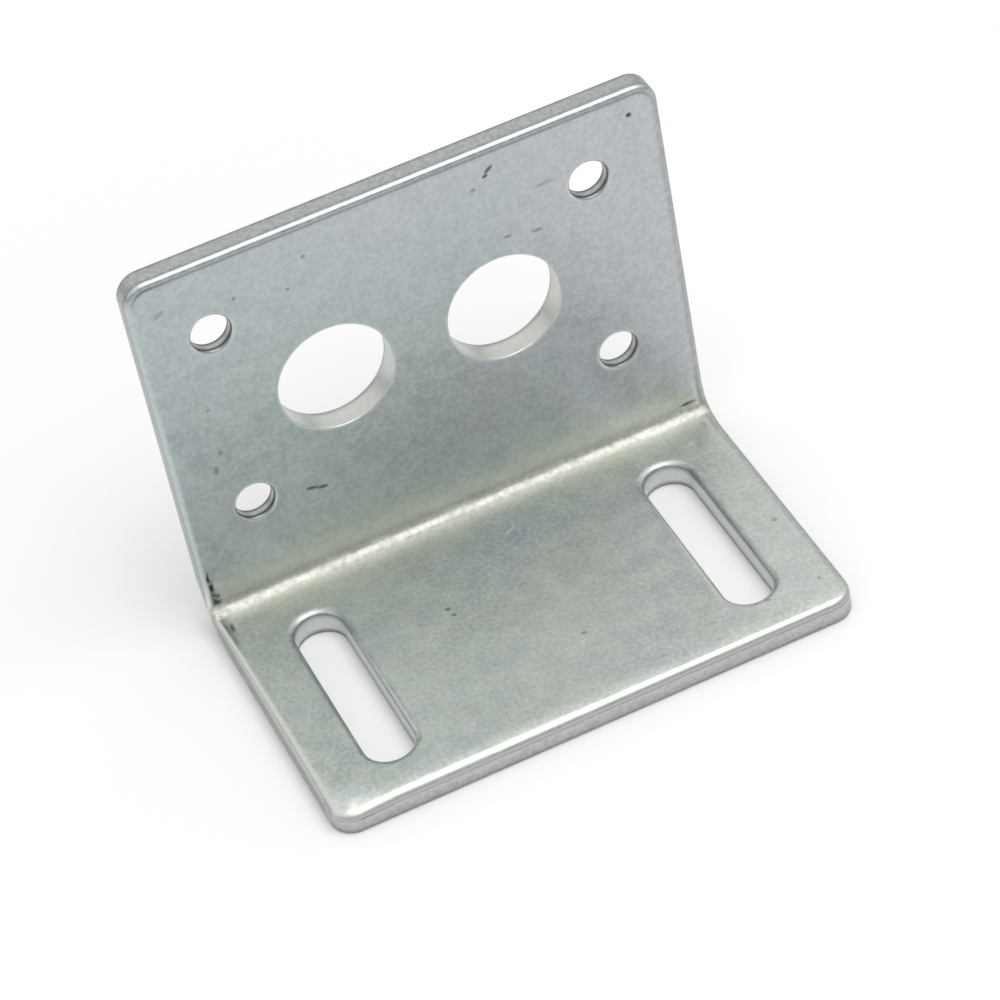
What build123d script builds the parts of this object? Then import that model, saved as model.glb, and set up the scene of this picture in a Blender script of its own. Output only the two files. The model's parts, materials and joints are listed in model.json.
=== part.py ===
"""Motor mounting bracket: one strip of zinc-plated steel sheet, blanked, pierced and bent once.

The upright flange carries a worm gearbox on its inner face, held by countersunk
screws put in from behind, and has a shaft hole on either side of the centre so
that the gearbox fits either way round. The foot has a long slot near each end.

Frame: millimetres, +Z up, origin under the middle of the bracket's bounding box.
The foot lies on Z = 0 and reaches towards -Y; the flange stands at the +Y end.
"""

import os

from build123d import *

# ---- the sheet and what cutting and bending leave on it
sheet = 2.3
bend_inside_r = 1.0
corner_r = 2.0  # free corners of the blank
die_roll = 0.5  # rounding of the inner face's outline, where the blanking punch entered
edge_break = 0.2  # chamfer of the outer face's outline, where the burr was taken off
pierce_roll = 0.2  # rounding of the holes and slots, on the inner face

# ---- the gearbox that the flange carries
gearbox_width = 46.0
gearbox_height = 32.0
gearbox_gap = 2.7  # clearance between the gearbox and the foot below it
gearbox_pitch_x = 33.0  # its four screw holes
gearbox_pitch_z = 18.0
gearbox_offset_x = -0.4  # the punched pattern sits this far from the middle
screw_clearance_d = 3.4  # M3, medium fit
screw_head_d = 5.7  # mouth of the countersink, on the outer face
screw_head_angle = 90.0
shaft_hole_d = 10.0  # clears the boss round the output shaft
shaft_hole_pitch = 15.0  # between the two shaft positions

# ---- the slots in the foot
slot_width = 4.3  # M4, close fit
slot_length = 18.8  # end to end
slot_pitch = 32.0
slot_to_flange = 4.6  # near end of a slot to the flange's inner face
slot_to_edge = 3.8  # far end of a slot to the foot's front edge

# ---- sizes that follow
width = gearbox_width
height = sheet + gearbox_gap + gearbox_height
depth = sheet + slot_to_flange + slot_length + slot_to_edge
flange_back = depth / 2
flange_front = flange_back - sheet
foot_front = -depth / 2
gearbox_centre_z = height - gearbox_height / 2
slot_centre_y = flange_front - slot_to_flange - slot_length / 2

# The gearbox pattern's centre on the outer face, seen from behind, where the screws go in.
screw_side = Plane(
    origin=(gearbox_offset_x, flange_back, gearbox_centre_z), x_dir=(-1, 0, 0), z_dir=(0, 1, 0)
)
foot_top = Plane(origin=(0, slot_centre_y, sheet))


def outline(faces: ShapeList[Face]) -> ShapeList[Edge]:
    """Return the edges round a chain of faces, without the seams between them."""
    edges = ShapeList(edge for face in faces for edge in face.edges())
    return ShapeList(edge for edge in edges if sum(edge.is_same(other) for other in edges) == 1)


with BuildPart() as bracket:
    # The section: the sheet's inner surface, thickened outwards round the bend.
    with BuildSketch(Plane.YZ):
        with BuildLine():
            FilletPolyline(
                (foot_front, sheet),
                (flange_front, sheet),
                (flange_front, height),
                radius=bend_inside_r,
            )
            offset(amount=sheet, side=Side.RIGHT)
        make_face()
    extrude(amount=width / 2, both=True)

    flange_corners = bracket.edges().filter_by(Axis.Y).group_by(Axis.Z)[-1]
    foot_corners = bracket.edges().filter_by(Axis.Z).group_by(Axis.Y)[0]
    fillet(flange_corners + foot_corners, radius=corner_r)

    # Cut edges: rolled over on the face the punch entered, broken on the other.
    level = bracket.faces().filter_by(Axis.Z).sort_by(Axis.Z)
    upright = bracket.faces().filter_by(Axis.Y).sort_by(Axis.Y)
    corners_and_bends = bracket.faces().filter_by(GeomType.CYLINDER).group_by(Axis.X)
    inside_bend, outside_bend = corners_and_bends[1].sort_by(lambda face: face.radius)
    inner_outline = outline(level[1:2] + upright[1:2] + [inside_bend])
    outer_outline = outline(level[:1] + upright[-1:] + [outside_bend])
    fillet(inner_outline, radius=die_roll)
    chamfer(outer_outline, length=edge_break)

    # Flange: four screws from behind, and a shaft hole for each way round.
    with Locations(screw_side):
        with GridLocations(gearbox_pitch_x, gearbox_pitch_z, 2, 2):
            CounterSinkHole(
                radius=screw_clearance_d / 2,
                counter_sink_radius=screw_head_d / 2,
                counter_sink_angle=screw_head_angle,
            )
        with GridLocations(shaft_hole_pitch, 0, 2, 1):
            Hole(radius=shaft_hole_d / 2)

    # Foot: a slot near each end, across the bend.
    with BuildSketch(foot_top):
        with GridLocations(slot_pitch, 0, 2, 1):
            SlotOverall(slot_length, slot_width, rotation=90)
    extrude(amount=-sheet, mode=Mode.SUBTRACT)

    # Rims of everything pierced, on the inner face.
    flange_face = bracket.faces().filter_by(Axis.Y).sort_by(Axis.Y)[1]
    foot_face = bracket.faces().filter_by(Axis.Z).sort_by(Axis.Z)[1]
    rims = [wire.edges() for face in (flange_face, foot_face) for wire in face.inner_wires()]
    fillet([edge for rim in rims for edge in rim], radius=pierce_roll)

os.makedirs("parts", exist_ok=True)
bracket.part.label = "bracket"
export_step(bracket.part, "parts/bracket.step")
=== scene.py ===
"""Motor mounting bracket, dressed: one steel plate, blanked, pierced, folded once and zinc plated.

Metres, +Z up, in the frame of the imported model. The plate is laid out flat first: x runs along the fold,
y from the foot's free edge to the flange's top, and z through the sheet, from its outer face at 0 to its
inner face. Geometry Nodes sweep the cut edges, the two faces are meshed between them, the flaws of the
real part are pressed in, and a second tree of Geometry Nodes folds the plate.
"""

from __future__ import annotations

import json
import logging
import math
from dataclasses import dataclass, field
from enum import Enum, IntEnum
from typing import Any

import bmesh
import bpy
import numpy as np
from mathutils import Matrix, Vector
from mathutils.geometry import delaunay_2d_cdt

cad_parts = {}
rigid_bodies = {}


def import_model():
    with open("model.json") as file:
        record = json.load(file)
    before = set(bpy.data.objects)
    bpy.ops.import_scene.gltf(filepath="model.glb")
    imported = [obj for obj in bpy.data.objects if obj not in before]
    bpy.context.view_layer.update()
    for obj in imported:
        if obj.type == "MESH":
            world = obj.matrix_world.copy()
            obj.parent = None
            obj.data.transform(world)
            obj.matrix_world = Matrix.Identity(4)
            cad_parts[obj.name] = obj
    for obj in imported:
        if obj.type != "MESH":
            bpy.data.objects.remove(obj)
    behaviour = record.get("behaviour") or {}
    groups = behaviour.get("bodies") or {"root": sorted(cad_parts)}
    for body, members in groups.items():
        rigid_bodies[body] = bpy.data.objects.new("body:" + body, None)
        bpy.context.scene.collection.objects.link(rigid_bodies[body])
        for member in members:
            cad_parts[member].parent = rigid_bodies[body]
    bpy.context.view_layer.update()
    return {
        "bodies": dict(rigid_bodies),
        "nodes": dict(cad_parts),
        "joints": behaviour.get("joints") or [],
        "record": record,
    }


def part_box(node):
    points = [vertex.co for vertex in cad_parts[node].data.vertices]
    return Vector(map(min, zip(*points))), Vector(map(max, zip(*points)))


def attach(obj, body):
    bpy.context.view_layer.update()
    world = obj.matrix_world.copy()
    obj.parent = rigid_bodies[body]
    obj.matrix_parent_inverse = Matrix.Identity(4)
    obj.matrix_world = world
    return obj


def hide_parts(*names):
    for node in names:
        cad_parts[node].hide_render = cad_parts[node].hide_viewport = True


LOG = logging.getLogger("bracket")
MM = 0.001
WHITE = (1.0, 1.0, 1.0, 1.0)
Colour = tuple[float, float, float]


def bell(distance: np.ndarray, width: float | np.ndarray) -> np.ndarray:
    """A soft bump: 1 where the distance is 0, and nearly 0 from twice the width on."""
    return np.exp(-((distance / width) ** 2))


def fade(distance: np.ndarray, reach: float | np.ndarray) -> np.ndarray:
    """A straight fade: 1 where the distance is 0 or less, and 0 from the reach on."""
    return np.clip(1 - distance / reach, 0, 1)


def ripple(x: np.ndarray, y: np.ndarray, pace: tuple[float, float], seed: int) -> np.ndarray:
    """A smooth, irregular ripple over the plate.

    Args:
        x: where each point is along the fold.
        y: where each point is along the strip.
        pace: how fast the ripple runs in x and in y, in radians a metre.
        seed: what the ripple starts from.

    Returns:
        The ripple at each point, about -1 to 1.
    """
    random = np.random.default_rng(seed)
    total = np.zeros(len(x))
    for _ in range(6):
        turn, scale = random.uniform(-1, 1, 2), random.uniform(0.5, 1.6)
        phase = random.uniform(0, math.tau)
        total += np.sin(scale * (pace[0] * x * turn[0] + pace[1] * y * turn[1]) + phase)
    return total / 3.0


def put(name: str, data: bpy.types.ID) -> bpy.types.Object:
    """Makes an object and puts it in the scene.

    Args:
        name: the object's name.
        data: its mesh, curve, lamp or camera.

    Returns:
        The new object.
    """
    made = bpy.data.objects.new(name, data)
    bpy.context.scene.collection.objects.link(made)
    return made


class Face(Enum):
    """The two inner faces of the folded plate."""

    FOOT = "foot"
    FLANGE = "flange"


class Edge(IntEnum):
    """The families of cut edges, in the order in which the bracket keeps them."""

    OUTLINE = 0
    SCREW_HOLE = 1
    SHAFT_HOLE = 2
    SLOT = 3


class MarkKind(Enum):
    """What sort of mark it is, with how dark and how deep it is (in sheet metal, mm); a glint is a painted
    highlight.
    """

    PIT = (0.85, 0.07)
    SCRATCH = (0.80, 0.05)
    SPECK = (0.42, 0.02)
    SMEAR = (0.30, 0.006)
    # painted highlight: a small bright spot, barely raised
    GLINT = (-0.55, -0.012)

    @property
    def tone(self) -> float:
        """How much the mark darkens the plating; below 0 it paints a highlight on it."""
        return self.value[0]

    @property
    def depth(self) -> float:
        """How deep the mark is at its middle, in metres."""
        return self.value[1] * MM


@dataclass(frozen=True)
class Graph:
    """A node tree, with short ways to add nodes to it and link them."""

    tree: bpy.types.NodeTree

    @classmethod
    def of(cls, owner: bpy.types.Material | bpy.types.World) -> Graph:
        """Gives a material or a world an empty node tree.

        Args:
            owner: the material or the world.

        Returns:
            The tree.
        """
        owner.use_nodes = True
        owner.node_tree.nodes.clear()
        return cls(owner.node_tree)

    def add(self, kind: str, inputs: dict[str | int, Any] | None = None, **settings: Any) -> bpy.types.Node:
        """Adds one node.

        Args:
            kind: the node's type name.
            inputs: what goes into each input, by name or number: a socket to link, or a value.
            settings: properties of the node itself.

        Returns:
            The new node.
        """
        node = self.tree.nodes.new(kind)
        for name, value in settings.items():
            setattr(node, name, value)
        for key, value in (inputs or {}).items():
            if isinstance(value, bpy.types.NodeSocket):
                self.tree.links.new(value, node.inputs[key])
            else:
                node.inputs[key].default_value = value
        return node

    def math(self, operation: str, *terms: Any) -> bpy.types.NodeSocket:
        """Adds a Math node.

        Args:
            operation: the node's operation.
            terms: a socket or number for each of its inputs.

        Returns:
            The socket with the result.
        """
        return self.add("ShaderNodeMath", dict(enumerate(terms)), operation=operation).outputs[0]

    def ramp(self, value: Any, low: float, high: float, start: float = 0.0, end: float = 1.0) -> Any:
        """Maps a value from one range to another, smoothly and within its ends.

        Args:
            value: the socket to map.
            low: where the range begins.
            high: where it ends.
            start: the result at `low`.
            end: the result at `high`.

        Returns:
            The socket with the result.
        """
        node = self.add(
            "ShaderNodeMapRange",
            {"Value": value, "From Min": low, "From Max": high, "To Min": start, "To Max": end},
            interpolation_type="SMOOTHSTEP",
        )
        return node.outputs["Result"]

    def blend(self, amount: Any, first: Any, second: Any, how: str = "MIX") -> bpy.types.NodeSocket:
        """Adds a colour Mix node.

        Args:
            amount: how much of the second colour is used.
            first: the first colour, a socket or a triple.
            second: the second colour.
            how: the way the two are mixed.

        Returns:
            The socket with the mixed colour.
        """
        node = self.add("ShaderNodeMix", {0: amount}, data_type="RGBA", blend_type=how)
        for number, colour in ((6, first), (7, second)):
            if isinstance(colour, bpy.types.NodeSocket):
                self.tree.links.new(colour, node.inputs[number])
            else:
                node.inputs[number].default_value = (*colour, 1.0)
        return node.outputs[2]


class Rule:
    """A tree of Geometry Nodes with named inputs, run once and turned into a plain mesh."""

    def __init__(self, name: str) -> None:
        """Starts an empty tree.

        Args:
            name: the tree's name.
        """
        self.tree = bpy.data.node_groups.new(name, "GeometryNodeTree")
        self.tree.is_modifier = True
        self.graph = Graph(self.tree)
        self.entry = self.tree.nodes.new("NodeGroupInput")
        self.exit = self.tree.nodes.new("NodeGroupOutput")
        self.sockets: dict[str, str] = {}

    def takes(self, name: str, kind: str) -> bpy.types.NodeSocket:
        """Adds a named input.

        Args:
            name: the input's name.
            kind: Float, Int, Vector, Geometry, Object or Material.

        Returns:
            The socket that carries it inside the tree.
        """
        item = self.tree.interface.new_socket(name, in_out="INPUT", socket_type="NodeSocket" + kind)
        self.sockets[name] = item.identifier
        return self.entry.outputs[name]

    def gives(self, geometry: bpy.types.NodeSocket, material: bpy.types.NodeSocket) -> None:
        """Ends the tree: instances made real, material set, geometry out.

        Args:
            geometry: the socket with the finished geometry.
            material: the socket with its material.
        """
        self.tree.interface.new_socket("Geometry", in_out="OUTPUT", socket_type="NodeSocketGeometry")
        real = self.graph.add("GeometryNodeRealizeInstances", {0: geometry})
        dressed = self.graph.add(
            "GeometryNodeSetMaterial", {"Geometry": real.outputs[0], "Material": material}
        )
        self.tree.links.new(dressed.outputs[0], self.exit.inputs[0])

    def run(self, values: dict[str, Any], base: bpy.types.Mesh | None = None) -> bpy.types.Mesh:
        """Runs the tree on a mesh and keeps the result.

        Args:
            values: a value for each named input.
            base: the mesh that goes in, or none where the tree makes everything itself.

        Returns:
            The result as a new plain mesh.
        """
        carrier = put("carrier", base or bpy.data.meshes.new("empty"))
        modifier = carrier.modifiers.new(self.tree.name, "NODES")
        modifier.node_group = self.tree
        for name, value in values.items():
            modifier[self.sockets[name]] = value
        graph = bpy.context.evaluated_depsgraph_get()
        mesh = bpy.data.meshes.new_from_object(carrier.evaluated_get(graph), depsgraph=graph)
        carrier.modifiers.remove(modifier)
        bpy.data.objects.remove(carrier)
        return mesh


@dataclass(frozen=True)
class EdgeSection:
    """The section of a cut edge, from the inner face over the wall to the outer face.

    Beyond the roll the inner face still dips a little, by `sag` over `sag_reach`. The skirts are the rows
    of points beyond the roll, in mm from its end, and every other size is in metres.
    """

    name: str
    roll: float
    roll_depth: float
    outer_break: float
    countersink: float = 0.0
    wall_steps: int = 5
    sag: float = 0.03 * MM
    sag_reach: float = 1.6 * MM
    skirts: tuple[float, ...] = (0.12, 0.28, 0.5, 0.8, 1.1)
    roll_steps: int = 7
    countersink_steps: int = 5

    def inner_reach(self) -> float:
        """How far the section runs in over the inner face."""
        return self.roll + self.skirts[-1] * MM

    def points(self, sheet: float) -> list[tuple[float, float]]:
        """The section's points as (distance into the plate, height through the sheet).

        Args:
            sheet: the plate's thickness.

        Returns:
            The points, from the inner face's end to the outer face's end.
        """
        line = [(self.roll + skirt * MM, sheet) for skirt in reversed(self.skirts)]
        for step in range(self.roll_steps + 1):
            turn = math.radians(90.0 * step / self.roll_steps)
            line.append((self.roll * (1 - math.sin(turn)), sheet - self.roll_depth * (1 - math.cos(turn))))
        high, low = sheet - self.roll_depth, self.outer_break + self.countersink
        line += [(0.0, high - (high - low) * step / self.wall_steps) for step in range(1, self.wall_steps)]
        line.append((0.0, low))
        if self.countersink:
            for step in range(1, self.countersink_steps + 1):
                share = self.countersink * step / self.countersink_steps
                line.append((share, low - share))
        foot = line[-1][0]
        knee = 0.4 * self.outer_break
        line += [(foot + knee, knee), (foot + self.outer_break, 0.0)]
        line += [(foot + self.outer_break + skirt * MM, 0.0) for skirt in self.skirts[1:4:2]]
        return line


@dataclass(frozen=True)
class CutOut:
    """A family of equal cut edges in the flat plate: the outline, or a pattern of holes."""

    section: EdgeSection
    centre: tuple[float, float]
    length: float
    width: float
    corner: float
    columns: int = 1
    rows: int = 1
    pitch_x: float = 0.0
    pitch_y: float = 0.0
    outside: bool = False
    spacing: float = 0.2 * MM

    def middles(self) -> list[tuple[float, float]]:
        """Finds the middle of each of the family's openings.

        Returns:
            x and y of each middle.
        """
        return [
            (
                self.centre[0] + (column - (self.columns - 1) / 2) * self.pitch_x,
                self.centre[1] + (row - (self.rows - 1) / 2) * self.pitch_y,
            )
            for column in range(self.columns)
            for row in range(self.rows)
        ]

    def distance(self, points: np.ndarray) -> np.ndarray:
        """How far points lie from the cut edge, counted into the plate.

        Args:
            points: x and y of each point.

        Returns:
            The distance to the nearest of the family's edges.
        """
        nearest = np.full(len(points), np.inf)
        half = np.array([self.width / 2 - self.corner, self.length / 2 - self.corner])
        for middle in self.middles():
            q = np.abs(points - np.array(middle)) - half
            gap = np.linalg.norm(np.maximum(q, 0.0), axis=1) + np.minimum(q.max(axis=1), 0.0) - self.corner
            nearest = np.minimum(nearest, -gap if self.outside else gap)
        return nearest


class EdgeSweeper:
    """Sweeps edge sections round every opening of a family with one Geometry Nodes tree."""

    corner_steps = 40

    def __init__(self) -> None:
        """Builds the tree: one filleted loop, swept, and repeated over a grid of points."""
        rule = Rule("Cut Edges")
        graph = rule.graph
        loop = graph.add(
            "GeometryNodeCurvePrimitiveQuadrilateral",
            {"Width": rule.takes("Width", "Float"), "Height": rule.takes("Length", "Float")},
            mode="RECTANGLE",
        )
        rounded = graph.add(
            "GeometryNodeFilletCurve",
            {
                "Curve": loop.outputs[0],
                "Count": self.corner_steps,
                "Radius": rule.takes("Corner Radius", "Float"),
                "Limit Radius": True,
            },
            mode="POLY",
        )
        even = graph.add(
            "GeometryNodeResampleCurve",
            {"Curve": rounded.outputs[0], "Length": rule.takes("Spacing", "Float")},
            mode="LENGTH",
        )
        section = graph.add("GeometryNodeObjectInfo", {"Object": rule.takes("Section", "Object")})
        band = graph.add(
            "GeometryNodeCurveToMesh",
            {"Curve": even.outputs[0], "Profile Curve": section.outputs["Geometry"]},
        )
        columns, rows = rule.takes("Columns", "Int"), rule.takes("Rows", "Int")
        wide, long = (
            graph.math("MULTIPLY", rule.takes(pitch, "Float"), graph.math("SUBTRACT", count, 1.0))
            for pitch, count in (("Pitch X", columns), ("Pitch Y", rows))
        )
        grid = graph.add(
            "GeometryNodeMeshGrid",
            {"Size X": wide, "Size Y": long, "Vertices X": columns, "Vertices Y": rows},
        )
        placed = graph.add(
            "GeometryNodeSetPosition",
            {"Geometry": grid.outputs["Mesh"], "Offset": rule.takes("Centre", "Vector")},
        )
        repeated = graph.add(
            "GeometryNodeInstanceOnPoints", {"Points": placed.outputs[0], "Instance": band.outputs[0]}
        )
        rule.gives(repeated.outputs[0], rule.takes("Finish", "Material"))
        self.rule = rule

    def sweep(self, cut: CutOut, sheet: float, finish: bpy.types.Material) -> bpy.types.Mesh:
        """Makes the edges of one family.

        Args:
            cut: the family.
            sheet: the plate's thickness.
            finish: the material of the edges.

        Returns:
            A mesh of open bands, one round each opening.
        """
        side = -1.0 if cut.outside else 1.0
        line = bpy.data.curves.new(cut.section.name, "CURVE")
        line.dimensions = "3D"
        spline = line.splines.new("POLY")
        section = cut.section.points(sheet)
        spline.points.add(len(section) - 1)
        for point, (inward, up) in zip(spline.points, section):
            point.co = (side * inward, -up, 0.0, 1.0)
        holder = put(cut.section.name, line)
        mesh = self.rule.run(
            {
                "Width": cut.width,
                "Length": cut.length,
                "Corner Radius": cut.corner,
                "Spacing": cut.spacing,
                "Section": holder,
                "Columns": cut.columns,
                "Rows": cut.rows,
                "Pitch X": cut.pitch_x,
                "Pitch Y": cut.pitch_y,
                "Centre": (*cut.centre, 0.0),
                "Finish": finish,
            }
        )
        bpy.data.objects.remove(holder)
        bpy.data.curves.remove(line)
        return mesh


@dataclass(frozen=True)
class Spot:
    """A place on an inner face, measured from the bracket's middle and from the fold, in mm."""

    face: Face
    across: float
    from_fold: float

    def middle(self, plate: Plate) -> np.ndarray:
        """Where the place lies in the flat plate.

        Args:
            plate: the plate that it is on.

        Returns:
            Its x and y, in metres.
        """
        if self.face is Face.FOOT:
            return np.array([self.across * MM, plate.station_on_foot(-self.from_fold * MM)])
        return np.array([self.across * MM, plate.station_on_flange(self.from_fold * MM)])


@dataclass(frozen=True)
class Mark(Spot):
    """A flaw in an inner face: an oval, with its size in mm and its turn in degrees."""

    kind: MarkKind
    length: float
    breadth: float
    turn: float = 0.0

    def local(self, points: np.ndarray, plate: Plate) -> np.ndarray:
        """Where points lie in the mark's own oval.

        Args:
            points: x and y of each point in the flat plate, in metres.
            plate: the plate that the mark is on.

        Returns:
            The distance from the mark's middle, which is 1 at its rim.
        """
        shift = (points - self.middle(plate)) / MM
        cos, sin = math.cos(math.radians(self.turn)), math.sin(math.radians(self.turn))
        run = (shift[:, 0] * cos + shift[:, 1] * sin) / (self.length / 2)
        rise = (shift[:, 1] * cos - shift[:, 0] * sin) / (self.breadth / 2)
        return np.hypot(run, rise)

    def rings(self, plate: Plate) -> np.ndarray:
        """Points that give the mesh enough to show the mark's shape.

        Args:
            plate: the plate that the mark is on.

        Returns:
            x and y of each point in the flat plate.
        """
        sides = 14
        cos, sin = math.cos(math.radians(self.turn)), math.sin(math.radians(self.turn))
        found = [self.middle(plate)]
        for ring, scale in enumerate((0.35, 0.65, 0.9, 1.15, 1.5)):
            for step in range(sides):
                angle = math.tau * (step + 0.5 * (ring % 2)) / sides
                run, rise = math.cos(angle) * self.length / 2, math.sin(angle) * self.breadth / 2
                turned = np.array([run * cos - rise * sin, run * sin + rise * cos])
                found.append(self.middle(plate) + turned * scale * MM)
        return np.array(found)


@dataclass(frozen=True)
class Cloud(Spot):
    """A wide, soft patch of painted light (tone above 0) or painted shade (tone below 0), with a change of
    straw tint: how far it spreads, in mm, and what it does there.
    """

    spread_across: float
    spread_along: float
    tone: float
    straw: float = 0.0

    def share(self, points: np.ndarray, plate: Plate) -> np.ndarray:
        """How strong the cloud is at each point.

        Args:
            points: x and y of each point in the flat plate, in metres.
            plate: the plate that the cloud is on.

        Returns:
            1 at its middle, falling off to 0.
        """
        shift = (points - self.middle(plate)) / MM / np.array([self.spread_across, self.spread_along])
        return bell(np.linalg.norm(shift, axis=1), 1.0)


@dataclass
class Plate:
    """The plate's sizes, in metres, and how it lies flat before it is folded."""

    width: float
    height: float
    foot_front: float
    flange_front: float
    sheet: float
    inside_radius: float = 1.0 * MM
    corner_radius: float = 2.0 * MM

    @property
    def foot_flat(self) -> float:
        """Length of the foot from its free edge to where the fold begins."""
        return self.flange_front - self.inside_radius - self.foot_front

    @property
    def fold_length(self) -> float:
        """Length of the fold along the middle of the sheet."""
        return (self.inside_radius + self.sheet / 2) * math.pi / 2

    @property
    def fold_middle(self) -> float:
        """How far the middle of the fold lies from the foot's free edge, in the flat plate."""
        return self.foot_flat + self.fold_length / 2

    @property
    def flange_flat(self) -> float:
        """Length of the flange above the fold."""
        return self.height - self.sheet - self.inside_radius

    @property
    def strip_length(self) -> float:
        """Length of the flat plate."""
        return self.foot_flat + self.fold_length + self.flange_flat

    def station_on_foot(self, y: float) -> float:
        """Where a place on the foot lies in the flat plate.

        Args:
            y: its distance from the flange's front face, negative towards the free edge.

        Returns:
            Its distance from the plate's free edge.
        """
        return self.flange_front + y - self.foot_front

    def station_on_flange(self, above: float) -> float:
        """Where a place on the flange lies in the flat plate.

        Args:
            above: its height above the foot's top face.

        Returns:
            Its distance from the foot's free edge along the flat plate.
        """
        return self.foot_flat + self.fold_length + above - self.inside_radius

    def station_of_height(self, z: float) -> float:
        """The same for a height above the floor."""
        return self.station_on_flange(z - self.sheet)


class Folder:
    """Folds the flat plate round its inside radius with a tree of Geometry Nodes."""

    def __init__(self) -> None:
        """Builds the tree: each point keeps its height through the sheet and turns with the fold."""
        rule = Rule("Fold Plate")
        graph = rule.graph
        flat = rule.takes("Flat Plate", "Geometry")
        start, length = rule.takes("Fold Start", "Float"), rule.takes("Fold Length", "Float")
        axis_y, axis_z = rule.takes("Axis Y", "Float"), rule.takes("Axis Z", "Float")
        outer_radius = rule.takes("Outer Radius", "Float")
        place = graph.add(
            "ShaderNodeSeparateXYZ", {0: graph.add("GeometryNodeInputPosition").outputs[0]}
        ).outputs
        past = graph.math("SUBTRACT", place[1], start)
        share = graph.add("ShaderNodeMapRange", {"Value": past, "From Max": length}).outputs["Result"]
        turn = graph.math("MULTIPLY", share, math.pi / 2)
        radius = graph.math("SUBTRACT", outer_radius, place[2])
        before = graph.math("MINIMUM", past, 0.0)
        after = graph.math("MAXIMUM", graph.math("SUBTRACT", past, length), 0.0)
        out_y = graph.math("ADD", axis_y, graph.math("MULTIPLY", radius, graph.math("SINE", turn)))
        out_z = graph.math("SUBTRACT", axis_z, graph.math("MULTIPLY", radius, graph.math("COSINE", turn)))
        folded = graph.add(
            "ShaderNodeCombineXYZ",
            {0: place[0], 1: graph.math("ADD", out_y, before), 2: graph.math("ADD", out_z, after)},
        )
        moved = graph.add("GeometryNodeSetPosition", {"Geometry": flat, "Position": folded.outputs[0]})
        rule.gives(moved.outputs[0], rule.takes("Finish", "Material"))
        self.rule = rule

    def fold(self, flat: bpy.types.Mesh, plate: Plate, finish: bpy.types.Material) -> bpy.types.Mesh:
        """Folds a flat mesh.

        Args:
            flat: the flat plate.
            plate: its sizes.
            finish: its material.

        Returns:
            The folded plate as a new mesh.
        """
        return self.rule.run(
            {
                "Fold Start": plate.foot_flat,
                "Fold Length": plate.fold_length,
                "Axis Y": plate.flange_front - plate.inside_radius,
                "Axis Z": plate.sheet + plate.inside_radius,
                "Outer Radius": plate.inside_radius + plate.sheet,
                "Finish": finish,
            },
            flat,
        )


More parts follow.
